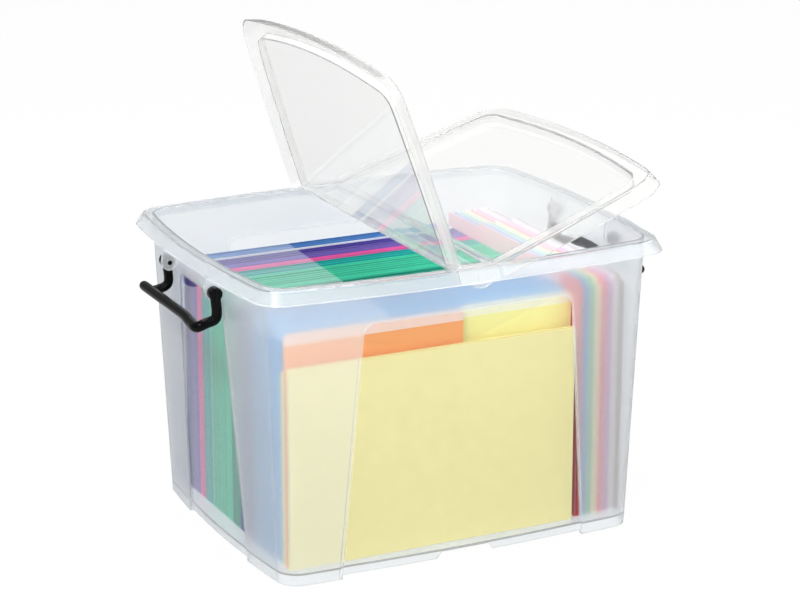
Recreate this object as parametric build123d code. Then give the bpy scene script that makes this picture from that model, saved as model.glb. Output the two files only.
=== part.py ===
from build123d import *

import os
from dataclasses import dataclass
from math import atan2, degrees

# Portable file box: a clear moulded tub, a clip-on lid whose two flaps fold up from a fixed bridge, two
# swinging carrying handles, and the card folders that stand in it. Millimetres, +Z up, +X along the box,
# -Y the front. The origin is on the ground under the middle of the tub.


@dataclass(frozen=True)
class Outline:
    """Rounded rectangle seen from above, whose ends and sides bow outwards from its corners."""

    half_length: float
    half_width: float
    end_bow: float
    side_bow: float
    corner: float

    def grown(self, by):
        """The outline moved outwards by a distance, or inwards where it is negative."""
        return Outline(
            self.half_length + by, self.half_width + by, self.end_bow, self.side_bow, self.corner + by
        )

    def towards(self, other, share):
        """The outline a share of the way from this one to another."""
        mine = (self.half_length, self.half_width, self.end_bow, self.side_bow, self.corner)
        theirs = (other.half_length, other.half_width, other.end_bow, other.side_bow, other.corner)
        return Outline(*(m + (t - m) * share for m, t in zip(mine, theirs)))

    def side_at(self, x):
        """How far out the long side lies at a place along the box."""
        return self.half_width - self.side_bow * (x / (self.half_length - self.end_bow)) ** 2

    def face(self, z):
        """The outline as a flat face at a height."""
        x, y = self.half_length - self.end_bow, self.half_width - self.side_bow
        sides = [
            ThreePointArc((-x, -y), (0, -self.half_width), (x, -y)),
            ThreePointArc((x, -y), (self.half_length, 0), (x, y)),
            ThreePointArc((x, y), (0, self.half_width), (-x, y)),
            ThreePointArc((-x, y), (-self.half_length, 0), (-x, -y)),
        ]
        sharp = make_face(Curve() + sides)
        return Pos(0, 0, z) * fillet(sharp.vertices(), self.corner)


# --- Tub -------------------------------------------------------------------------------------------------
tub_length = 480.0
tub_width = 391.6
tub_height = 316.0
skirt_outline = Outline(tub_length / 2, tub_width / 2, 13.4, 13.6, 31.0)
crest_outline = Outline(skirt_outline.half_length - 5.8, skirt_outline.half_width - 8.0, 13.2, 13.2, 29.0)
wall_top_outline = Outline(crest_outline.half_length - 8.0, crest_outline.half_width - 8.2, 13.4, 13.4, 26.0)
base_outline = Outline(
    wall_top_outline.half_length - 16.6, wall_top_outline.half_width - 11.0, 10.2, 6.2, 24.0
)
wall = 2.4
skirt_depth = 13.0
skirt_wall = 2.2
crest_break = 1.4
floor_top = 13.0
floor_wall = 2.4

window_recess = 3.0
front_window_bottom_half = base_outline.half_length - 70.6
front_window_top_half = front_window_bottom_half - 22.0
front_window_top = tub_height - 46.0
end_window_bottom_half = base_outline.half_width - 89.6
end_window_top_half = end_window_bottom_half - 21.0
end_window_top = tub_height - 38.0
window_corner = 14.0
window_foot_rise = 3.5
notch_bottom_half = 36.0
notch_top_half = 27.0
pad_half = 58.0
pad_recess = 1.0
pad_top = tub_height - 3.0
pad_corner = 8.0

# --- Handles ---------------------------------------------------------------------------------------------
pivot_out = tub_length / 2 - 8.0
pivot_height = tub_height - 28.0
arm_across = 66.0
rod_diameter = 9.6
far_arm_diameter = 9.2
bar_out = pivot_out + 19.0
bar_height = pivot_height - 31.0
bar_overhang = 22.0
knee_in = 2.0
knee_rise = 3.0
knee_bend = 6.0
elbow_bend = 5.0
dip_length = 34.0
dip_depth = 2.6
end_break = 2.4
head_diameter = 13.0
head_width = 10.4
peg_diameter = 5.0
peg_fit = 0.06
peg_past = 1.0
side_play = 0.4
lug_thickness = 4.0
lug_radius = 8.5
lug_root_in = 1.8
lug_root_up = 1.5
lug_lean = 2.0

# --- Lid -------------------------------------------------------------------------------------------------
lid_wall = 1.6
lid_plate = 2.2
lid_seat_gap = 0.3
lid_skirt_gap = 0.8
lid_skirt_depth = 14.4
lid_crest_over = 2.2
lid_crest_break = 1.4
pocket_gap = 0.6
pocket_draft = 1.2
pocket_depth = 8.9
pocket_break = 1.6
panel_wall = 2.0
hinge_out = 19.0
hinge_height = tub_height + 0.5
bridge_half = 22.5
left_open = 71.6
right_open = 19.4
bead_diameter = 3.0
eye_fit = 0.06
eye_wall = 1.4
eye_width = 8.0
eye_break = 1.3
eye_play = 0.4
bead_end_play = 1.0
eye_places = (25.8 - tub_width / 2, 0.0, tub_width / 2 - 25.8)
flap_edge = 4.4
web_play = 0.74
hinge_web = 1.8
hinge_strip = 2.0
rail_wall = 1.8
rail_play = 1.7
tongue_width = 25.0
tongue_drop = 6.0
tongue_root = 1.0
tongue_wall = 1.4
snap_lip = 2.0
snap_gap = 0.6
rib_foot = 6.0
rib_head = 3.6
rib_height = 10.0
rib_out = 1.0

# --- Folders ---------------------------------------------------------------------------------------------
card = 0.6
folder_inside = 3.8
stand_gap = 0.3
left_back = tub_height - 66.0
left_cover = left_back - 10.0
plain_back = left_back - 37.0
plain_cover = plain_back - 1.0
tabbed_back = plain_back - 7.0
tabbed_cover = tabbed_back - 1.0
front_tab = 40.7
front_tab_split = 9.3
front_tab_past = 5.0
right_back = left_back + 12.0
right_cover = right_back - 8.0
right_tab = 5.0
right_tab_half = 75.0
tab_corner = 5.0
left_group_start = 19.6 - base_outline.half_length
left_group_end = base_outline.half_length - 75.6
left_group_front = 17.6 - base_outline.half_width
right_group_start = left_group_end + 6.0
right_group_half = base_outline.half_width - 21.6

front_folders = ("folder_cream", "folder_orange", "folder_yellow")
left_folders = {
    "folders_sky_blue": 9,
    "folders_navy": 6,
    "folders_sea_green": 3,
    "folders_green": 8,
    "folders_teal": 3,
    "folders_magenta": 2,
    "folders_lavender": 3,
    "folders_violet": 2,
    "folder_white": 1,
    "folders_blue": 3,
}
right_folders = (
    "folder_dark_red",
    "folder_dark_blue",
    "folder_leaf_green",
    "folder_straw",
    "folder_red",
    "folder_mauve",
    "folder_pearl",
    "folder_brown",
)

# Cutting shapes run right through the box, or just past the face they cut.
reach = 600.0
cut_past = 1.0

# --- Worked out from the sizes above ---------------------------------------------------------------------
skirt_bottom = tub_height - skirt_depth
pocket_outline = wall_top_outline.grown(-wall - pocket_gap)
lid_seat = tub_height + lid_seat_gap
lid_crest = lid_seat + lid_plate
lid_skirt_bottom = lid_crest - lid_skirt_depth
panel_top = lid_crest - pocket_depth
panel_bottom = panel_top - panel_wall
bead_radius = bead_diameter / 2
eye_hole = bead_radius + eye_fit
eye_radius = eye_hole + eye_wall
hinge_web_at = eye_radius + web_play
rail_out = hinge_out - bead_radius - rail_play
peg_radius = peg_diameter / 2
lug_outer_face = arm_across - head_width / 2 - side_play
folder_thick = 2 * card + folder_inside
folder_pitch = -2 * left_group_front / (len(front_folders) + sum(left_folders.values()))


def frustum(*levels):
    """Solid with straight sides through outlines at rising heights, each level an outline and its height."""
    return loft([outline.face(z) for outline, z in levels], ruled=True)


def slab(x0, x1, y0, y1, z0, z1):
    """Box between two corners."""
    return Pos((x0 + x1) / 2, (y0 + y1) / 2, (z0 + z1) / 2) * Box(x1 - x0, y1 - y0, z1 - z0)


def bevelled(lower, z0, upper, z1, cut):
    """Solid between two outlines at two heights, with its top edge cut off."""
    shoulder = lower.towards(upper, (z1 - cut - z0) / (z1 - z0))
    return frustum((lower, z0), (shoulder, z1 - cut), (upper.grown(-cut), z1))


def wall_outline(z, inset=0.0):
    """Outline of the tub's wall at a height, moved inwards by an inset."""
    return base_outline.towards(wall_top_outline, z / tub_height).grown(-inset)


def wall_block(z0, z1, inset=0.0):
    """Solid that the tub's wall outline sweeps between two heights."""
    return frustum((wall_outline(z0, inset), z0), (wall_outline(z1, inset), z1))


def window_prism(bottom_half, top_half, top, across, grow=0.0):
    """Bar with the outline of one window pair, running right through the box along Y or along X."""
    outline = Polygon(
        (-bottom_half - grow, -reach), (bottom_half + grow, -reach),
        (bottom_half + grow, 0), (top_half + grow, top + grow),
        (-top_half - grow, top + grow), (-bottom_half - grow, 0),
        align=None,
    )
    corners = outline.vertices().sort_by(Axis.Y)[-2:]
    rounded = fillet(corners, window_corner)
    plane = Plane.XZ if across == "front" else Plane.YZ
    return extrude(plane * rounded, reach, both=True)


def bow_radius(half_chord, bow):
    """Radius of an arc from its half chord and its rise."""
    return (half_chord**2 + bow**2) / (2 * bow)


def between_panes(inset, across):
    """Solid between one pair of window panes: bowed as the walls are halfway up, tilted by their draft."""
    low, mid, high = wall_outline(0), wall_outline(tub_height / 2), wall_outline(tub_height)
    if across == "front":
        turn, low_out, high_out = 0, low.half_width, high.half_width
        radius = bow_radius(mid.half_length - mid.end_bow, mid.side_bow)
    else:
        turn, low_out, high_out = -90, low.half_length, high.half_length
        radius = bow_radius(mid.half_width - mid.side_bow, mid.end_bow)
    lean = degrees(atan2(high_out - low_out, tub_height))
    middle_out = (low_out + high_out) / 2 - inset - window_recess
    one = Pos(0, radius - middle_out, tub_height / 2) * Rot(lean, 0, 0) * Cylinder(radius, 2 * reach)
    return Rot(0, 0, turn) * (one & mirror(one, Plane.XZ))


def window_cuts(inset, grow):
    """What both recessed window pairs take off wall faces that lie at an inset."""
    front = window_prism(
        front_window_bottom_half, front_window_top_half, front_window_top, "front", grow
    )
    ends = window_prism(end_window_bottom_half, end_window_top_half, end_window_top, "end", grow)
    return front - between_panes(inset, "front"), ends - between_panes(inset, "end")


def wall_space(z0, z1):
    """Space inside the tub's walls between two heights, narrowed behind the windows."""
    space = wall_block(z0, z1, wall)
    for cut in window_cuts(wall, wall):
        space -= cut
    return space


def end_pads():
    """Shallow pads sunk in the rim's skirt above both handles."""
    face = Pos(0, pad_top - reach / 2) * RectangleRounded(2 * pad_half, reach, pad_corner)
    ring = frustum(
        (skirt_outline.grown(cut_past), skirt_bottom), (crest_outline.grown(cut_past), tub_height)
    )
    ring -= frustum(
        (skirt_outline.grown(-pad_recess), skirt_bottom), (crest_outline.grown(-pad_recess), tub_height)
    )
    return ring & extrude(Plane.YZ * face, reach, both=True)


def lug():
    """One handle lug of the left end, on the side of +Y, with its peg hole."""
    tab = Pos(-pivot_out, pivot_height) * Circle(lug_radius)
    inner, outer = lug_root_in - pivot_out + lug_radius, -pivot_out - lug_radius
    root_top = skirt_bottom + lug_root_up
    root = Polygon(
        (outer, pivot_height), (inner, pivot_height), (inner, root_top), (outer + lug_lean, root_top),
        align=None,
    )
    plate = tab + root - Pos(-pivot_out, pivot_height) * Circle(peg_radius + peg_fit)
    return Pos(0, lug_outer_face, 0) * extrude(Plane.XZ * plate, lug_thickness)


def make_tub():
    """The moulded tub: tapered bowed walls, recessed windows, rolled rim, foot and handle lugs."""
    body = wall_block(0, tub_height - skirt_wall / 2)
    for cut in window_cuts(0.0, 0.0):
        body -= cut
    rim = bevelled(skirt_outline, skirt_bottom, crest_outline, tub_height, crest_break)
    rim -= frustum(
        (skirt_outline.grown(-skirt_wall), skirt_bottom),
        (crest_outline.grown(-skirt_wall), tub_height - skirt_wall),
    )
    rim -= end_pads()
    body += rim
    body -= wall_space(floor_top, tub_height + cut_past)
    body -= wall_space(-cut_past, floor_top - floor_wall)
    rise = window_foot_rise
    body -= slab(-front_window_bottom_half, front_window_bottom_half, -reach, reach, -cut_past, rise)
    body -= slab(-reach, reach, -end_window_bottom_half, end_window_bottom_half, -cut_past, rise)
    notch = Polygon(
        (-notch_bottom_half, -cut_past), (notch_bottom_half, -cut_past),
        (notch_top_half, floor_top - floor_wall), (-notch_top_half, floor_top - floor_wall),
        align=None,
    )
    body -= extrude(Plane.XZ * notch, reach, both=True)
    one = lug()
    for tab in (one, mirror(one, Plane.XZ)):
        body += tab
        body += mirror(tab, Plane.YZ)
    return body


def lid_skirt_outline(z, inset=0.0):
    """Outside of the lid's skirt at a height, following the rim's skirt under it."""
    under = skirt_outline.towards(crest_outline, (z - skirt_bottom) / skirt_depth)
    return under.grown(lid_skirt_gap + lid_wall - inset)


def pocket_level(z, inset=0.0):
    """Outline of the sunk part of the lid at a height, narrower towards the panel by its draft."""
    return pocket_outline.grown(-inset - pocket_draft * (lid_crest - z) / pocket_depth)


def pocket_block(z0, z1, inset=0.0):
    """Solid inside the sunk part of the lid between two heights."""
    return frustum((pocket_level(z0, inset), z0), (pocket_level(z1, inset), z1))


def whole_lid():
    """The lid in one piece: skirt, border over the rim, sunk panel."""
    shell = bevelled(
        lid_skirt_outline(lid_skirt_bottom), lid_skirt_bottom,
        crest_outline.grown(lid_crest_over), lid_crest, lid_crest_break,
    )
    shell -= frustum(
        (lid_skirt_outline(lid_skirt_bottom, lid_wall), lid_skirt_bottom),
        (crest_outline.grown(lid_crest_over - lid_wall), lid_seat),
    )
    shell += pocket_block(panel_bottom, (lid_seat + lid_crest) / 2)
    shell -= pocket_block(panel_top, lid_crest + cut_past, lid_wall)
    mouth = pocket_level(lid_crest, lid_wall)
    return shell - frustum(
        (mouth.grown(-cut_past), lid_crest - pocket_break - cut_past),
        (mouth.grown(pocket_break + cut_past), lid_crest + cut_past),
    )


def hinge_line(y0, y1, radius, side):
    """Round bar on one hinge axis between two places across the box."""
    middle = (y0 + y1) / 2
    return Pos(side * hinge_out, middle, hinge_height) * Rot(90, 0, 0) * Cylinder(radius, y1 - y0)


def pocket_half(inset):
    """Half the width of the sunk part at the hinge line, at the panel."""
    return pocket_outline.grown(-inset - pocket_draft).side_at(hinge_out)


def make_bridge(lid):
    """The fixed middle strip: border over the rim at both ends, channel between, hinge eyes, clips."""
    end_in = pocket_half(lid_wall)
    bridge = lid & slab(-bridge_half, bridge_half, -reach, reach, 0, reach)
    hollow = pocket_block(panel_bottom - cut_past, lid_crest + cut_past, lid_wall)
    for side in (-1, 1):
        outer, inner = sorted((side * rail_out, side * reach))
        bridge -= hollow & slab(outer, inner, -reach, reach, 0, reach)
        bridge -= slab(outer, inner, -end_in, end_in, 0, lid_seat)
        outer, inner = sorted((side * rail_out, side * (rail_out - rail_wall)))
        rail = pocket_block(panel_bottom, hinge_height + bead_radius, lid_wall / 2)
        bridge += rail & slab(outer, inner, -reach, reach, 0, reach)
        for place in eye_places:
            y0, y1 = place - eye_width / 2, place + eye_width / 2
            ends = sorted((side * (rail_out - rail_wall / 2), side * (hinge_out + eye_radius)))
            eye = slab(*ends, y0, y1, hinge_height - eye_radius, hinge_height + eye_radius)
            corners = eye.edges().filter_by(Axis.Y).sort_by(Axis.X)
            bridge += chamfer(corners[-2:] if side > 0 else corners[:2], eye_break)
    for side in (-1, 1):
        for place in eye_places:
            y0, y1 = place - eye_width, place + eye_width
            bridge -= hinge_line(y0, y1, eye_hole, side) & slab(-reach, reach, -end_in, end_in, 0, reach)
    clip = make_clip()
    return bridge + clip + mirror(clip, Plane.XZ)


def make_clip():
    """Spring tongue, snap lip and rib that hold the bridge on the front rim."""
    out = -lid_skirt_outline(lid_skirt_bottom).side_at(0)
    radius = bow_radius(tongue_width / 2, tongue_drop)
    flat = Pos(0, lid_skirt_bottom + radius - tongue_drop) * Circle(radius)
    flat &= Pos(0, lid_skirt_bottom + tongue_root - reach / 2) * Rectangle(reach, reach)
    tongue = Pos(0, out + tongue_wall, 0) * extrude(Plane.XZ * flat, tongue_wall)
    lip_top = skirt_bottom - snap_gap
    lip = extrude(Plane.XZ * flat, -out, both=True)
    lip &= slab(-reach, reach, out, out + tongue_wall + snap_lip, 0, lip_top)
    lower, upper = lid_skirt_outline(lid_skirt_bottom), lid_skirt_outline(lid_seat)
    ring = frustum((lower.grown(rib_out), lid_skirt_bottom), (upper.grown(rib_out), lid_seat))
    ring -= frustum((lower.grown(-lid_wall / 2), lid_skirt_bottom), (upper.grown(-lid_wall / 2), lid_seat))
    rib = Polygon(
        (-rib_foot / 2, lid_skirt_bottom), (rib_foot / 2, lid_skirt_bottom),
        (rib_head / 2, lid_skirt_bottom + rib_height), (-rib_head / 2, lid_skirt_bottom + rib_height),
        align=None,
    )
    return tongue + lip + (ring & extrude(Plane.XZ * rib, reach))


def make_flap(lid, side):
    """One closed flap: its share of the lid, the web and bead of its hinge, notched for the eyes."""
    edge = hinge_out + flap_edge
    ends = sorted((side * edge, side * reach))
    flap = lid & slab(*ends, -reach, reach, 0, reach)
    web_in, web_out = hinge_out + hinge_web_at, hinge_out + hinge_web_at + hinge_web
    tray = pocket_block(panel_bottom, hinge_height + bead_radius, lid_wall / 2)
    ends = sorted((side * web_in, side * web_out))
    flap += tray & slab(*ends, -reach, reach, 0, reach)
    ends = sorted((side * web_in, side * (edge + cut_past)))
    flap += (tray & slab(*ends, -reach, reach, 0, panel_top)) - slab(*ends, -reach, reach, 0, panel_bottom)
    bead_half = eye_places[-1] + eye_width / 2 - bead_end_play
    flap += hinge_line(-bead_half, bead_half, bead_radius, side)
    ends = sorted((side * hinge_out, side * (web_in + hinge_web / 2)))
    strip = slab(*ends, -bead_half, bead_half, hinge_height - hinge_strip / 2, hinge_height + hinge_strip / 2)
    for place in eye_places:
        half = eye_width / 2 + eye_play
        strip -= slab(-reach, reach, place - half, place + half, 0, reach)
    return flap + strip


def hinge_axis(side):
    """Axis on which one flap folds."""
    return Axis((side * hinge_out, 0, hinge_height), (0, 1, 0))


def rod(points, diameter):
    """Round rod along a bent line, mitred at every bend."""
    path = Polyline(*points)
    section = Plane(path @ 0, z_dir=path % 0) * Circle(diameter / 2)
    return sweep(section, path=path, transition=Transition.RIGHT)


def drum(y0, y1, diameter):
    """Round boss on the handle's pivot axis between two places."""
    return Pos(-pivot_out, (y0 + y1) / 2, pivot_height) * Rot(90, 0, 0) * Cylinder(diameter / 2, abs(y1 - y0))


def make_handle():
    """Left handle: a rod cranked from the near head to the bar's free end, a far arm, and two pegs."""
    knee_out, knee_height = pivot_out - knee_in, bar_height + knee_rise
    knee = [
        (-pivot_out, pivot_height), (-knee_out, knee_height + knee_bend),
        (-knee_out - knee_bend, knee_height),
    ]
    dip_out, dip_height = bar_out + dip_depth / 2, bar_height - dip_depth
    bar_end = arm_across + bar_overhang
    near = [(x, -arm_across, z) for x, z in knee] + [
        (elbow_bend - dip_out, -arm_across, dip_height),
        (-dip_out, elbow_bend - arm_across, dip_height),
        (-bar_out, dip_length - arm_across, bar_height),
        (-bar_out, bar_end, bar_height),
    ]
    far = [(x, arm_across, z) for x, z in knee] + [(-bar_out, arm_across, bar_height)]
    handle = rod(near, rod_diameter)
    handle = chamfer(handle.faces().sort_by(Axis.Y)[-1].edges(), end_break)
    handle += rod(far, far_arm_diameter)
    for side in (-1, 1):
        middle = side * arm_across
        tip = side * (lug_outer_face - lug_thickness - peg_past)
        handle += drum(middle - head_width / 2, middle + head_width / 2, head_diameter)
        handle += drum(middle, tip, peg_diameter)
    return handle


def folder(width, cover, back):
    """One flat-bottomed folder along X: a front leaf and a taller rear leaf."""
    section = Polygon(
        (0, 0), (folder_thick, 0), (folder_thick, back), (folder_thick - card, back),
        (folder_thick - card, card), (card, card), (card, cover), (0, cover),
        align=None,
    )
    return Pos(0, 0, floor_top + stand_gap) * extrude(Plane.YZ * section, width)


def leaf_tab(x0, x1, back, height, corner=0.0):
    """Tab that stands up from a folder's rear leaf between two places along it."""
    outline = Pos((x0 + x1) / 2, floor_top + stand_gap + back) * Rectangle(x1 - x0, 2 * height)
    if corner > 0:
        outline = fillet(outline.vertices().group_by(Axis.Y)[-1], corner)
    return Pos(0, folder_thick, 0) * extrude(Plane.XZ * outline, card)


def write(name, shape):
    """Write one node."""
    export_step(shape, os.path.join("parts", name + ".step"))


def group(shapes):
    """Separate solids that share one node."""
    return Compound(children=list(shapes))


os.makedirs("parts", exist_ok=True)

write("tub", make_tub())
lid = whole_lid()
write("lid_bridge", make_bridge(lid))
write("left_flap", make_flap(lid, -1).rotate(hinge_axis(-1), left_open))
write("right_flap", make_flap(lid, 1).rotate(hinge_axis(1), -right_open))
handle = make_handle()
write("left_handle", handle)
write("right_handle", Rot(0, 0, 180) * handle)

left_width = left_group_end - left_group_start
split = front_tab_split - left_group_start
cream = folder(left_width, plain_cover, plain_back)
tabbed = folder(left_width, tabbed_cover, tabbed_back)
orange = tabbed + leaf_tab(0, split, tabbed_back, front_tab, tab_corner)
yellow = tabbed + leaf_tab(split, left_width + front_tab_past, tabbed_back, front_tab, tab_corner)
place = left_group_front
for name, one in zip(front_folders, (cream, orange, yellow)):
    write(name, Pos(left_group_start, place, 0) * one)
    place += folder_pitch
one = folder(left_width, left_cover, left_back)
for name, count in left_folders.items():
    write(name, group(Pos(left_group_start, place + folder_pitch * step, 0) * one for step in range(count)))
    place += folder_pitch * count

one = folder(2 * right_group_half, right_cover, right_back)
one += leaf_tab(right_group_half - right_tab_half, right_group_half + right_tab_half, right_back, right_tab)
place = right_group_start + folder_thick
for name in right_folders:
    write(name, Pos(place, -right_group_half, 0) * Rot(0, 0, 90) * one)
    place += folder_pitch
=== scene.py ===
"""Portable file box: clear tub, folding two-leaf lid, black carrying handles and dyed card folders."""
import logging
import math
from dataclasses import dataclass, field
from enum import Enum
from typing import Any

import bmesh
import bpy
from mathutils import Matrix, Vector


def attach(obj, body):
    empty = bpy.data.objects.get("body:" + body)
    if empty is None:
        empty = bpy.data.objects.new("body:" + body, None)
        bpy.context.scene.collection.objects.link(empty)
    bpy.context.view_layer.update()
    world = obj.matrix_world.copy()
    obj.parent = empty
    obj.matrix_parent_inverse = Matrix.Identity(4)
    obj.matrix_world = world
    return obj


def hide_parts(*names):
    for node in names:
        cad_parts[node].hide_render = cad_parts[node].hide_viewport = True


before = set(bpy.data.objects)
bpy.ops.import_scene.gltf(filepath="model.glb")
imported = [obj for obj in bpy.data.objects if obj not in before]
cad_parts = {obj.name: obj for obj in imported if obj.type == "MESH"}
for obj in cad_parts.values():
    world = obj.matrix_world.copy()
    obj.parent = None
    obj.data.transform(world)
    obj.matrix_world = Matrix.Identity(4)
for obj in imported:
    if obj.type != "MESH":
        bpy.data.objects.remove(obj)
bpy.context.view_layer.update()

log = logging.getLogger("file_box")

MM = 0.001


def linear(hex_colour: str) -> tuple[float, float, float, float]:
    """Turn an sRGB hex colour into a linear one.

    Args:
        hex_colour: Six hex digits, such as "e8a05c".

    Returns:
        Linear red, green and blue, and an alpha of 1.
    """
    parts = [int(hex_colour[i:i + 2], 16) / 255 for i in (0, 2, 4)]
    red, green, blue = (p / 12.92 if p <= 0.04045 else ((p + 0.055) / 1.055) ** 2.4 for p in parts)
    return red, green, blue, 1.0


def per_metre(size_mm: float) -> float:
    """Texture scale at which one pattern cell has a size in millimetres."""
    return 1.0 / (size_mm * MM)


def add_node(
    tree: bpy.types.NodeTree,
    kind: str,
    settings: dict[str, Any] | None = None,
    inputs: dict[str | int, Any] | None = None,
) -> bpy.types.Node:
    """Add a node, set its properties, and set or link its inputs.

    Args:
        tree: The node tree.
        kind: The node's type name without its ShaderNode prefix.
        settings: Properties by name.
        inputs: Socket values or output sockets to link, by socket name or number.

    Returns:
        The new node.
    """
    node = tree.nodes.new("ShaderNode" + kind)
    for name, value in (settings or {}).items():
        setattr(node, name, value)
    for key, value in (inputs or {}).items():
        if isinstance(value, bpy.types.NodeSocket):
            tree.links.new(value, node.inputs[key])
        else:
            node.inputs[key].default_value = value
    return node


def new_material(name: str) -> tuple[bpy.types.Material, bpy.types.NodeTree, bpy.types.Node]:
    """Make an empty node material.

    Args:
        name: The material's name.

    Returns:
        The material, its node tree and its output node.
    """
    material = bpy.data.materials.new(name)
    material.use_nodes = True
    tree = material.node_tree
    tree.nodes.clear()
    return material, tree, tree.nodes.new("ShaderNodeOutputMaterial")


def dress(node: str, material: bpy.types.Material) -> None:
    """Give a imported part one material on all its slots.

    Args:
        node: The part's name.
        material: The material.
    """
    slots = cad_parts[node].data.materials
    slots.clear()
    slots.append(material)


def math_node(tree: bpy.types.NodeTree, operation: str, *values: Any) -> bpy.types.NodeSocket:
    """Add a Math node for values or sockets, in order, and return its result."""
    return add_node(tree, "Math", {"operation": operation}, dict(enumerate(values))).outputs[0]


def ramp(
    tree: bpy.types.NodeTree, value: bpy.types.NodeSocket, start: float, end: float
) -> bpy.types.NodeSocket:
    """Add a smooth step from 0 at the start to 1 at the end, and return its result."""
    return add_node(
        tree, "MapRange", {"interpolation_type": "SMOOTHSTEP"},
        {"Value": value, "From Min": start, "From Max": end},
    ).outputs[0]


def noise(
    tree: bpy.types.NodeTree, point: bpy.types.NodeSocket, size_mm: float, detail: float, **more: float
) -> bpy.types.NodeSocket:
    """Add a noise pattern.

    Args:
        tree: The node tree.
        point: Where the pattern is looked up.
        size_mm: The size of one cell in millimetres.
        detail: How many finer layers it has.
        more: Other socket values by name.

    Returns:
        The pattern's value.
    """
    inputs = {"Vector": point, "Scale": per_metre(size_mm), "Detail": detail, **more}
    return add_node(tree, "TexNoise", {}, inputs).outputs["Fac"]


def blend(tree: bpy.types.NodeTree, share: Any, first: Any, second: Any) -> bpy.types.NodeSocket:
    """Add a mix of two numbers, the second by its share, and return its result."""
    return add_node(tree, "Mix", {"data_type": "FLOAT"}, {0: share, 2: first, 3: second}).outputs[0]


def blend_colours(
    tree: bpy.types.NodeTree, share: bpy.types.NodeSocket, first: str, second: str
) -> bpy.types.NodeSocket:
    """Add a mix of two hex colours, the second by its share, and return its result."""
    return add_node(
        tree, "Mix", {"data_type": "RGBA"}, {0: share, 6: linear(first), 7: linear(second)}
    ).outputs[2]


def bumped(
    tree: bpy.types.NodeTree, height: bpy.types.NodeSocket, strength: float, depth_mm: float
) -> bpy.types.NodeSocket:
    """Add a bump of a depth in millimetres, and return its normal."""
    return add_node(
        tree, "Bump", {}, {"Height": height, "Strength": strength, "Distance": depth_mm * MM}
    ).outputs[0]


@dataclass(frozen=True)
class WindowFrame:
    """A recessed window pair, as the mould has it, in metres."""

    axis: str
    bottom_half: float
    top_half: float
    top: float
    corner: float = 0.014

    def distance(self, tree: bpy.types.NodeTree, place: bpy.types.Node) -> bpy.types.NodeSocket:
        """Build how far a point lies outside the window's outline.

        Args:
            tree: The node tree.
            place: A Separate XYZ node with the point in the object's frame.

        Returns:
            Signed distance in metres, negative inside the window.
        """
        slope = (self.top_half - self.bottom_half) / self.top
        across = math_node(tree, "ABSOLUTE", place.outputs[self.axis])
        half = math_node(tree, "MULTIPLY_ADD", place.outputs["Z"], slope, self.bottom_half - self.corner)
        past_side = math_node(tree, "SUBTRACT", across, half)
        past_top = math_node(tree, "SUBTRACT", place.outputs["Z"], self.top - self.corner)
        inner = math_node(tree, "MINIMUM", math_node(tree, "MAXIMUM", past_side, past_top), 0.0)
        corner = add_node(
            tree, "CombineXYZ", {},
            {"X": math_node(tree, "MAXIMUM", past_side, 0.0), "Y": math_node(tree, "MAXIMUM", past_top, 0.0)},
        )
        outer = add_node(tree, "VectorMath", {"operation": "LENGTH"}, {0: corner.outputs[0]}).outputs["Value"]
        return math_node(tree, "SUBTRACT", math_node(tree, "ADD", outer, inner), self.corner)


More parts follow.
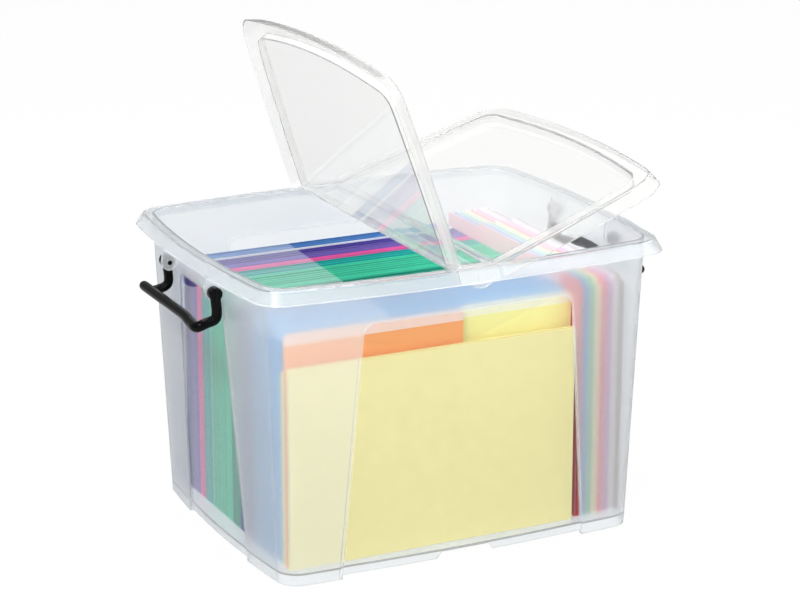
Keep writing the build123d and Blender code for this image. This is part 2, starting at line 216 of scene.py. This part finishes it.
@dataclass(frozen=True)
class ClearPolypropylene:
    """Clear injection-moulded polypropylene, polished or spark-textured by its mould.

    The polished faces show what is behind them sharply. The textured ones scatter it into soft patches of
    colour under a milky cast. Every edge, where the wall is seen on end, is painted milky white along its
    width as a white line: a painted highlight.

    The textured roughness and its drift stay below 0.27 together. Above that the denoiser takes the surface
    for a matt one, and where the drift crosses the limit it draws a contour line.
    """

    name: str
    tint: str = "f8fbfd"
    polished: float = 0.03
    textured: float = 0.245
    drift: float = 0.02
    haze: float = 0.012
    textured_haze: float = 0.20
    ior: float = 1.49
    flow_mm: float = 60.0
    skin_mm: float = 28.0
    skin_height_mm: float = 0.02
    skin_strength: float = 0.2
    gloss: float = 0.30
    # Width and milkiness of the painted highlight along every edge.
    edge_width_mm: float = 0.7
    edge_highlight_milk: float = 0.6
    edge_open: float = 0.98
    edge_turned: float = 0.80
    shadow_tint: str = "fcfcfd"

    def build(self) -> bpy.types.Material:
        """Build the material.

        Returns:
            The finished material.
        """
        material, tree, output = new_material(self.name)
        point = add_node(tree, "TexCoord").outputs["Object"]
        flow = noise(tree, point, self.flow_mm, 3.0)
        skin = noise(tree, point, self.skin_mm, 0.0)
        texture, milk = self.texture(tree, point)
        rough = blend(tree, texture, self.polished, self.textured)
        worn = math_node(tree, "MULTIPLY_ADD", flow, self.drift, rough)
        clear = blend(tree, milk, 1 - self.haze, 1 - self.textured_haze)
        passed = math_node(tree, "MULTIPLY", clear, self.off_edge_highlight(tree))
        wavy = bumped(tree, skin, self.skin_strength, self.skin_height_mm)
        plastic = add_node(
            tree, "BsdfPrincipled", {},
            {
                "Base Color": linear(self.tint), "Roughness": worn, "IOR": self.ior,
                "Specular IOR Level": self.gloss, "Transmission Weight": passed, "Normal": wavy,
            },
        )
        # Light from the lamps passes straight in, as it does through thin clear walls.
        path = add_node(tree, "LightPath")
        through = add_node(tree, "BsdfTransparent", {}, {"Color": linear(self.shadow_tint)})
        surface = add_node(
            tree, "MixShader", {},
            {0: path.outputs["Is Shadow Ray"], 1: plastic.outputs[0], 2: through.outputs[0]},
        )
        tree.links.new(surface.outputs[0], output.inputs["Surface"])
        return material

    def off_edge_highlight(self, tree: bpy.types.NodeTree) -> bpy.types.NodeSocket:
        """Build 1 on open faces, falling to the edges' clearness within their width, where milky white paints
        a highlight.

        Args:
            tree: The node tree.

        Returns:
            The share of clearness that is left.
        """
        # Painted highlight: the plastic turns milky white where the rounded normal leaves the true one.
        rounded = add_node(tree, "Bevel", {"samples": 4}, {"Radius": self.edge_width_mm * MM})
        true = add_node(tree, "NewGeometry").outputs["Normal"]
        agree = add_node(
            tree, "VectorMath", {"operation": "DOT_PRODUCT"}, {0: rounded.outputs[0], 1: true}
        ).outputs["Value"]
        on_edge_highlight = ramp(tree, agree, self.edge_open, self.edge_turned)
        return math_node(tree, "SUBTRACT", 1.0, math_node(tree, "MULTIPLY", on_edge_highlight, self.edge_highlight_milk))

    def texture(
        self, tree: bpy.types.NodeTree, point: bpy.types.NodeSocket
    ) -> tuple[bpy.types.NodeSocket | float, bpy.types.NodeSocket | float]:
        """Build how textured and how milky the moulding is at a point, each 0 to 1.

        Args:
            tree: The node tree.
            point: The point in the object's frame.

        Returns:
            The share of texture and the share of milkiness.
        """
        return 0.0, 0.0


@dataclass(frozen=True)
class TubPolypropylene(ClearPolypropylene):
    """Clear polypropylene of the tub: polished windows and rim, textured corner columns and foot."""

    windows: tuple[WindowFrame, ...] = ()
    edge_mm: float = 0.8
    # Distance, width and milkiness of the painted highlight ringing each window's edge.
    lip_highlight_mm: float = 1.5
    lip_highlight_milk: float = 2.2
    rim_from: float = 0.3155
    rim_blend: float = 0.004
    foot_to: float = 0.0138
    foot_blend: float = 0.0008

    def texture(
        self, tree: bpy.types.NodeTree, point: bpy.types.NodeSocket
    ) -> tuple[bpy.types.NodeSocket, bpy.types.NodeSocket]:
        """Build the textured share, and a milkier thin ring round each window: a painted highlight on the
        window's edge.

        Args:
            tree: The node tree.
            point: The point in the object's frame.

        Returns:
            The share of texture and the share of milkiness.
        """
        place = add_node(tree, "SeparateXYZ", {}, {0: point})
        outside = math_node(tree, "MINIMUM", *(w.distance(tree, place) for w in self.windows))
        column = ramp(tree, outside, -self.edge_mm * MM, self.edge_mm * MM)
        foot = ramp(tree, place.outputs["Z"], self.foot_to, self.foot_to - self.foot_blend)
        below_rim = ramp(tree, place.outputs["Z"], self.rim_from, self.rim_from - self.rim_blend)
        texture = math_node(tree, "MULTIPLY", math_node(tree, "MAXIMUM", column, foot), below_rim)
        # Painted highlight: a milkier ring just outside each window.
        away = math_node(tree, "ABSOLUTE", math_node(tree, "SUBTRACT", outside, self.lip_highlight_mm * MM))
        lip_highlight = math_node(tree, "MULTIPLY", ramp(tree, away, self.lip_highlight_mm * MM, 0.0), self.lip_highlight_milk)
        return texture, math_node(tree, "ADD", texture, math_node(tree, "MULTIPLY", lip_highlight, texture))


@dataclass(frozen=True)
class LidPolypropylene(ClearPolypropylene):
    """Clear polypropylene of the lid: a clear sunk panel inside a milkier, faintly textured border."""

    hinge_x: float = 0.0
    hinge_z: float = 0.3165
    opened: float = 0.0
    half_length: float = 0.2195
    half_width: float = 0.1735
    bow: float = 0.0134
    edge: float = 0.003

    def texture(
        self, tree: bpy.types.NodeTree, point: bpy.types.NodeSocket
    ) -> tuple[bpy.types.NodeSocket, bpy.types.NodeSocket]:
        """Build the border's share, worked out in the closed lid's frame.

        Args:
            tree: The node tree.
            point: The point in the object's frame.

        Returns:
            The share of texture and the share of milkiness, which are the same.
        """
        closed = add_node(
            tree, "VectorRotate", {"rotation_type": "Y_AXIS"},
            {
                "Vector": point, "Center": (self.hinge_x, 0.0, self.hinge_z),
                "Angle": -math.radians(self.opened),
            },
        )
        place = add_node(tree, "SeparateXYZ", {}, {0: closed.outputs[0]})
        past = []
        for along, across, half, other in (
            ("X", "Y", self.half_length, self.half_width), ("Y", "X", self.half_width, self.half_length)
        ):
            share = math_node(tree, "MULTIPLY", place.outputs[across], 1 / other)
            bowed = math_node(tree, "MULTIPLY", math_node(tree, "MULTIPLY", share, share), self.bow)
            out = math_node(tree, "ADD", math_node(tree, "ABSOLUTE", place.outputs[along]), bowed)
            past.append(math_node(tree, "SUBTRACT", out, half))
        border = ramp(tree, math_node(tree, "MAXIMUM", *past), 0.0, self.edge)
        return border, border


@dataclass(frozen=True)
class BlackPolypropylene:
    """Black moulded polypropylene, polished: deep black with small sharp highlights and a faint ripple."""

    name: str = "polypropylene_black_polished"
    colour: str = "020203"
    rub: str = "070708"
    roughness: float = 0.14
    ripple_mm: float = 7.0
    ripple_height_mm: float = 0.05
    ripple_strength: float = 0.3
    scuff_mm: float = 1.6
    scuff_from: float = 0.55
    scuff_full: float = 0.8
    scuff_roughness: float = 0.10
    ior: float = 1.35
    gloss: float = 0.30

    def build(self) -> bpy.types.Material:
        """Build the material.

        Returns:
            The finished material.
        """
        material, tree, output = new_material(self.name)
        point = add_node(tree, "TexCoord").outputs["Object"]
        ripple = noise(tree, point, self.ripple_mm, 2.0)
        scuff = noise(tree, point, self.scuff_mm, 6.0, Roughness=0.7)
        worn = add_node(
            tree, "MapRange", {}, {"Value": scuff, "From Min": self.scuff_from, "From Max": self.scuff_full}
        ).outputs[0]
        plastic = add_node(
            tree, "BsdfPrincipled", {},
            {
                "Base Color": blend_colours(tree, worn, self.colour, self.rub),
                "Roughness": math_node(tree, "MULTIPLY_ADD", worn, self.scuff_roughness, self.roughness),
                "IOR": self.ior, "Specular IOR Level": self.gloss,
                "Normal": bumped(tree, ripple, self.ripple_strength, self.ripple_height_mm),
            },
        )
        tree.links.new(plastic.outputs[0], output.inputs["Surface"])
        return material


class CardColour(Enum):
    """The dyed card of each folder node, as an sRGB hex colour."""

    folder_cream = "f6eaa2"
    folder_orange = "fba04a"
    folder_yellow = "fffa9a"
    folders_sky_blue = "28a2de"
    folders_navy = "1f2f8c"
    folders_sea_green = "129a80"
    folders_green = "44cca8"
    folders_teal = "18a8a4"
    folders_lavender = "7260b4"
    folders_magenta = "e45aa4"
    folders_violet = "4c3f98"
    folder_white = "f0f2f8"
    folders_blue = "4a7ebc"
    folder_dark_red = "e43a44"
    folder_dark_blue = "3f8ae0"
    folder_leaf_green = "66cf9a"
    folder_straw = "fff0b4"
    folder_red = "fa5a74"
    folder_mauve = "dc98d4"
    folder_pearl = "f6f0ee"
    folder_brown = "b09c9a"


@dataclass(frozen=True)
class PaintedLightBand:
    """A paler band painted along the top of a folder, over x up to a place and above a height, in metres:
    painted light where the top catches the light.

    Its end moves along x by the lean for each metre towards the back of the box. It starts at a depth
    along y, so that the sheets' front edges can be left plain.
    """

    x_to: float
    z_from: float
    paleness: float
    lean: float = 0.0
    y_from: float = -1.0


# Above the tallest folder, so no light is painted and nothing is pale.
NO_PAINTED_LIGHT = PaintedLightBand(0.0, 1.0, 0.0)


@dataclass(frozen=True)
class DyedPressboard:
    """Calendered pressboard, dyed in the pulp: even matt colour, faint cloudy mottle, fine fibre grain."""

    name: str
    colour: str
    mottle_mm: float = 14.0
    fibre_mm: float = 0.9
    fibre_stretch: float = 5.0
    fibre_height_mm: float = 0.012
    fibre_strength: float = 0.35
    fibre_share: float = 0.4
    shade: tuple[float, float] = (0.97, 1.03)
    roughness: float = 0.62
    roughness_range: float = 0.12
    ior: float = 1.46
    spread: float = 0.10
    pale: str = "f8fbff"
    # A paler band painted on the top of the card: painted light.
    painted_light: PaintedLightBand = NO_PAINTED_LIGHT

    def build(self) -> bpy.types.Material:
        """Build the material.

        Returns:
            The finished material.
        """
        material, tree, output = new_material(self.name)
        point = add_node(tree, "TexCoord").outputs["Object"]
        mottle = noise(tree, point, self.mottle_mm, 4.0)
        stretch = 1.0 / self.fibre_stretch
        lying = add_node(tree, "Mapping", {}, {"Vector": point, "Scale": (stretch, stretch, 1.0)})
        fibre = noise(tree, lying.outputs[0], self.fibre_mm, 3.0, Roughness=0.6)
        both = blend(tree, self.fibre_share, mottle, fibre)
        sheet = add_node(tree, "NewGeometry").outputs["Random Per Island"]
        batch = math_node(tree, "MULTIPLY_ADD", sheet, self.spread, 1 - self.spread / 2)
        darkest, lightest = self.shade
        shade = add_node(
            tree, "MapRange", {},
            {"Value": both, "From Min": 0.3, "From Max": 0.7, "To Min": darkest, "To Max": lightest},
        )
        value = math_node(tree, "MULTIPLY", shade.outputs[0], batch)
        colour = add_node(tree, "HueSaturation", {}, {"Color": self.dye(tree, point), "Value": value})
        smoothest = self.roughness - self.roughness_range / 2
        card = add_node(
            tree, "BsdfPrincipled", {},
            {
                "Base Color": colour.outputs[0],
                "Roughness": math_node(tree, "MULTIPLY_ADD", mottle, self.roughness_range, smoothest),
                "IOR": self.ior,
                "Normal": bumped(tree, fibre, self.fibre_strength, self.fibre_height_mm),
            },
        )
        tree.links.new(card.outputs[0], output.inputs["Surface"])
        return material

    def dye(self, tree: bpy.types.NodeTree, point: bpy.types.NodeSocket) -> bpy.types.NodeSocket:
        """Build the card's colour, paler on its band of painted light.

        Args:
            tree: The node tree.
            point: The point in the object's frame.

        Returns:
            The colour.
        """
        # Painted light: paler above a height and left of a place along x.
        painted_light = self.painted_light
        place = add_node(tree, "SeparateXYZ", {}, {0: point})
        end = math_node(tree, "MULTIPLY_ADD", place.outputs["Y"], painted_light.lean, painted_light.x_to)
        along = math_node(tree, "LESS_THAN", place.outputs["X"], end)
        above = math_node(tree, "GREATER_THAN", place.outputs["Z"], painted_light.z_from)
        behind = math_node(tree, "GREATER_THAN", place.outputs["Y"], painted_light.y_from)
        on_top = math_node(tree, "MULTIPLY", above, behind)
        on_painted_light = math_node(tree, "MULTIPLY", along, on_top)
        share = math_node(tree, "MULTIPLY", on_painted_light, painted_light.paleness)
        return blend_colours(tree, share, self.colour, self.pale)


@dataclass
class Tub:
    """The clear tub: polished windows and rim, textured corner columns."""

    node: str = "tub"
    front: WindowFrame = WindowFrame("X", 0.139, 0.117, 0.270)
    ends: WindowFrame = WindowFrame("Y", 0.079, 0.058, 0.278)

    def build(self) -> None:
        """Dress the tub."""
        finish = TubPolypropylene("polypropylene_clear_part_textured", windows=(self.front, self.ends))
        dress(self.node, finish.build())
        log.info("tub dressed")


@dataclass
class Lid:
    """The fixed bridge and the two flaps: node, hinge place across the box, degrees it is folded up."""

    leaves: tuple[tuple[str, float, float], ...] = (
        ("lid_bridge", 0.0, 0.0), ("left_flap", -0.019, 71.6), ("right_flap", 0.019, -19.4)
    )

    def build(self) -> None:
        """Dress the bridge and the flaps."""
        for node, hinge_x, opened in self.leaves:
            finish = LidPolypropylene(
                "polypropylene_clear_" + node, hinge_x=hinge_x, opened=opened,
                polished=0.02, textured=0.08, haze=0.09, textured_haze=0.13, tint="fdfdfc", ior=1.35,
            )
            dress(node, finish.build())
            log.info("%s dressed", node)


@dataclass
class CarryHandle:
    """One black handle: a cranked rod from the near head to the bar's free end, and the far arm.

    Sizes are those of the left one, in metres. The right one is the same moulding turned half round.
    """

    node: str
    body: str
    turned: bool = False
    pivot: tuple[float, float] = (-0.232, 0.288)
    across: float = 0.066
    rod: float = 0.0054
    far_rod: float = 0.0050
    bar: tuple[float, float] = (-0.2494, 0.257)
    overhang: float = 0.022
    dip: float = 0.0026
    head: float = 0.0070
    head_half: float = 0.0052
    peg: float = 0.0025
    peg_reach: float = 0.0106
    finish: BlackPolypropylene = field(default_factory=BlackPolypropylene)

    def tube(self, points: list[tuple[float, ...]], radius: float) -> bpy.types.Mesh:
        """Sweep a round rod along a smooth line.

        Args:
            points: Control points as x, y, z and a share of the radius.
            radius: The rod's radius.

        Returns:
            A closed mesh.
        """
        curve = bpy.data.curves.new("rod", "CURVE")
        curve.dimensions = "3D"
        curve.bevel_depth = radius
        curve.bevel_resolution = 7
        curve.resolution_u = 10
        curve.use_fill_caps = True
        spline = curve.splines.new("NURBS")
        spline.points.add(len(points) - 1)
        for control, (x, y, z, share) in zip(spline.points, points):
            control.co = (x, y, z, 1.0)
            control.radius = share
        spline.order_u = 4
        spline.use_endpoint_u = True
        holder = bpy.data.objects.new("rod", curve)
        mesh = bpy.data.meshes.new_from_object(holder)
        bpy.data.objects.remove(holder)
        bpy.data.curves.remove(curve)
        return mesh

    def boss(self, y0: float, y1: float, radius: float, cut: float) -> bmesh.types.BMesh:
        """Make a round boss on the pivot axis with rounded edges.

        Args:
            y0: Where it starts along the axis.
            y1: Where it ends.
            radius: Its radius.
            cut: How far its edges are rounded.

        Returns:
            The boss as a bmesh.
        """
        boss = bmesh.new()
        turn = Matrix.Rotation(math.radians(90), 4, "X")
        place = Matrix.Translation((self.pivot[0], (y0 + y1) / 2, self.pivot[1])) @ turn
        bmesh.ops.create_cone(
            boss, cap_ends=True, segments=40, radius1=radius, radius2=radius, depth=abs(y1 - y0), matrix=place
        )
        edges = [e for e in boss.edges if abs(e.verts[0].co.y - e.verts[1].co.y) < 1e-6]
        bmesh.ops.bevel(boss, geom=edges, offset=cut, segments=3, profile=0.5, affect="EDGES")
        return boss

    def rod_points(self) -> tuple[list[tuple[float, ...]], list[tuple[float, ...]]]:
        """Lay out the near rod and the far arm.

        Returns:
            Control points of both, as x, y, z and a share of the radius.
        """
        (px, pz), (bx, bz) = self.pivot, self.bar
        y, low = self.across, bz - self.dip
        knee_x, knee_z = px + 0.002, bz + 0.003
        arm = [(px, pz), (knee_x - 0.001, pz - 0.010), (knee_x, knee_z + 0.012), (knee_x, knee_z - 0.0005)]
        near = [(x, -y, z, 1.0) for x, z in arm]
        near += [
            (knee_x - 0.012, -y, knee_z - 0.001, 1.0),
            (bx - 0.0030, -y, low - 0.0004, 1.04),
            (bx - 0.0014, -y + 0.014, low, 1.10),
            (bx - 0.0010, -y + 0.024, low + 0.0006, 1.08),
            (bx, -y + 0.036, bz, 1.0),
            (bx, -y + 0.060, bz, 1.0),
            (bx, y * 0.4, bz, 1.0),
            (bx, y + self.overhang - 0.006, bz, 1.0),
            (bx, y + self.overhang + 0.001, bz, 1.0),
            (bx, y + self.overhang + 0.0040, bz, 0.72),
            (bx, y + self.overhang + 0.0046, bz, 0.10),
        ]
        far = [(x, y, z, 1.0) for x, z in arm]
        far += [(knee_x - 0.010, y, knee_z - 0.0015, 1.0), (bx + 0.001, y, bz, 1.0)]
        return near, far

    def build(self) -> bpy.types.Object:
        """Build the handle in place of its plain node.

        Returns:
            The handle's object.
        """
        near, far = self.rod_points()
        whole = bmesh.new()
        for points, radius in ((near, self.rod), (far, self.far_rod)):
            whole.from_mesh(self.tube(points, radius))
        for side in (-1, 1):
            middle = side * self.across
            for y0, y1, radius, cut in (
                (middle - self.head_half, middle + self.head_half, self.head, 0.0012),
                (middle, side * (self.across - self.peg_reach), self.peg, 0.0003),
            ):
                part = self.boss(y0, y1, radius, cut)
                piece = bpy.data.meshes.new("boss")
                part.to_mesh(piece)
                part.free()
                whole.from_mesh(piece)
        for face in whole.faces:
            face.smooth = True
        mesh = bpy.data.meshes.new(self.node + "_moulded")
        whole.to_mesh(mesh)
        whole.free()
        if self.turned:
            mesh.transform(Matrix.Rotation(math.pi, 4, "Z"))
        mesh.materials.append(self.finish.build())
        handle = bpy.data.objects.new(self.node + "_moulded", mesh)
        bpy.context.scene.collection.objects.link(handle)
        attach(handle, self.body)
        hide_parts(self.node)
        log.info("%s built", handle.name)
        return handle


@dataclass
class Folders:
    """Every card folder, each colour dressed in its own dyed board."""

    colours: type[CardColour] = CardColour
    # Paler bands painted on the folder tops and on the tabs' upper edges: painted light.
    index_painted_light: PaintedLightBand = PaintedLightBand(-0.063, 0.250, 0.30, lean=0.046)
    front_painted_light: PaintedLightBand = PaintedLightBand(0.200, 0.2479, 0.50)
    right_painted_light: PaintedLightBand = PaintedLightBand(0.215, 0.250, 0.62, y_from=-0.105)
    plain: tuple[str, ...] = ("folder_cream", "folder_white")
    front: tuple[str, ...] = ("folder_orange", "folder_yellow")
    single_spread: float = 0.10
    group_spread: float = 0.5

    def painted_light_of(self, name: str) -> PaintedLightBand:
        """Pick the band of painted light of one node.

        Args:
            name: The node's name.

        Returns:
            Its band of painted light.
        """
        if name in self.front:
            return self.front_painted_light
        if name in self.plain:
            return NO_PAINTED_LIGHT
        return self.right_painted_light if name.startswith("folder_") else self.index_painted_light

    def build(self) -> None:
        """Dress all the folders."""
        for colour in self.colours:
            single = colour.name.startswith("folder_")
            spread = self.single_spread if single else self.group_spread
            board = DyedPressboard(
                "pressboard_" + colour.name, colour.value, spread=spread, painted_light=self.painted_light_of(colour.name)
            )
            dress(colour.name, board.build())
            log.info("%s dressed", colour.name)


@dataclass
class Studio:
    """Plain pale floor, white surround, soft lamps and the camera."""

    floor_half: float = 30.0
    floor_colour: str = "fcfcfc"
    floor_mirrored: str = "bebec0"
    floor_drop: float = 0.0004
    floor_glow: float = 0.95
    surround: float = 0.57
    mirrored: float = 0.36
    camera_at: tuple[float, float, float] = (-1.1894, -2.4442, 1.0666)
    camera_turn: float = 0.455
    camera_down: float = 0.298
    lens_mm: float = 120.4
    sensor_mm: float = 36.0
    bounces: int = 32
    lamps_aim: tuple[float, float, float] = (0.0, 0.0, 0.2)
    lamps: tuple[tuple[str, tuple[float, float, float], float, float], ...] = (
        ("key", (-1.9, -1.7, 2.4), 0.50, 36.0),
        ("fill", (2.4, -1.8, 1.6), 0.9, 14.0),
        ("top", (0.2, 0.6, 3.0), 1.6, 38.0),
    )

    def add_camera(self) -> None:
        """Place the camera."""
        data = bpy.data.cameras.new("camera")
        data.lens = self.lens_mm
        data.sensor_width = self.sensor_mm
        camera = bpy.data.objects.new("camera", data)
        camera.location = self.camera_at
        camera.rotation_euler = (math.pi / 2 - self.camera_down, 0.0, -self.camera_turn)
        bpy.context.scene.collection.objects.link(camera)
        bpy.context.scene.camera = camera

    def add_lamps(self) -> None:
        """Hang the soft lamps, each turned to the middle of the box."""
        middle = Vector(self.lamps_aim)
        for name, place, size, power in self.lamps:
            data = bpy.data.lights.new(name, "AREA")
            data.size = size
            data.energy = power
            lamp = bpy.data.objects.new(name, data)
            lamp.location = place
            lamp.rotation_euler = (middle - Vector(place)).to_track_quat("-Z", "Y").to_euler()
            bpy.context.scene.collection.objects.link(lamp)

    def seen(self, tree: bpy.types.NodeTree) -> tuple[bpy.types.NodeSocket, bpy.types.NodeSocket]:
        """Build 1 for rays that see the surround, directly or through clear plastic, and 1 for mirrored ones.

        Args:
            tree: The node tree.

        Returns:
            Both shares.
        """
        path = add_node(tree, "LightPath")
        plain = math_node(tree, "MAXIMUM", path.outputs["Is Camera Ray"], path.outputs["Is Transmission Ray"])
        return plain, path.outputs["Is Glossy Ray"]

    def add_surround(self) -> None:
        """Light everything from a white surround that shows as a grey studio in mirrored light."""
        world = bpy.data.worlds.new("surround")
        bpy.context.scene.world = world
        world.use_nodes = True
        tree = world.node_tree
        tree.nodes.clear()
        plain, glossy = self.seen(tree)
        dimmer = blend(tree, glossy, self.surround, self.mirrored)
        strength = blend(tree, plain, dimmer, 1.0)
        light = add_node(tree, "Background", {}, {"Color": linear("ffffff"), "Strength": strength})
        output = tree.nodes.new("ShaderNodeOutputWorld")
        tree.links.new(light.outputs[0], output.inputs["Surface"])

    def add_floor(self) -> None:
        """Lay the floor: matt white that shows near white and keeps the box's shadow."""
        half, z = self.floor_half, -self.floor_drop
        mesh = bpy.data.meshes.new("floor")
        corners = [(-half, -half, z), (half, -half, z), (half, half, z), (-half, half, z)]
        mesh.from_pydata(corners, [], [(0, 1, 2, 3)])
        floor = bpy.data.objects.new("floor", mesh)
        bpy.context.scene.collection.objects.link(floor)
        material, tree, output = new_material("paint_white_matt")
        plain, glossy = self.seen(tree)
        paint = blend_colours(tree, glossy, self.floor_colour, self.floor_mirrored)
        matt = add_node(tree, "BsdfDiffuse", {}, {"Color": paint})
        glow = add_node(tree, "Emission", {}, {"Color": linear("ffffff"), "Strength": 1.0})
        share = math_node(tree, "MULTIPLY", plain, self.floor_glow)
        surface = add_node(tree, "MixShader", {}, {0: share, 1: matt.outputs[0], 2: glow.outputs[0]})
        tree.links.new(surface.outputs[0], output.inputs["Surface"])
        mesh.materials.append(material)

    def build(self) -> None:
        """Set up the whole studio."""
        scene = bpy.context.scene
        scene.view_settings.view_transform = "Standard"
        scene.cycles.max_bounces = self.bounces
        scene.cycles.transmission_bounces = self.bounces
        scene.cycles.transparent_max_bounces = self.bounces
        self.add_camera()
        self.add_lamps()
        self.add_surround()
        self.add_floor()
        log.info("studio ready")


def main() -> None:
    """Build every sub-assembly in order."""
    logging.basicConfig(level=logging.INFO, format="%(name)s: %(message)s")
    Studio().build()
    Tub().build()
    Lid().build()
    CarryHandle("left_handle", "left_handle").build()
    CarryHandle("right_handle", "right_handle", turned=True).build()
    Folders().build()


if __name__ == "__main__":
    main()
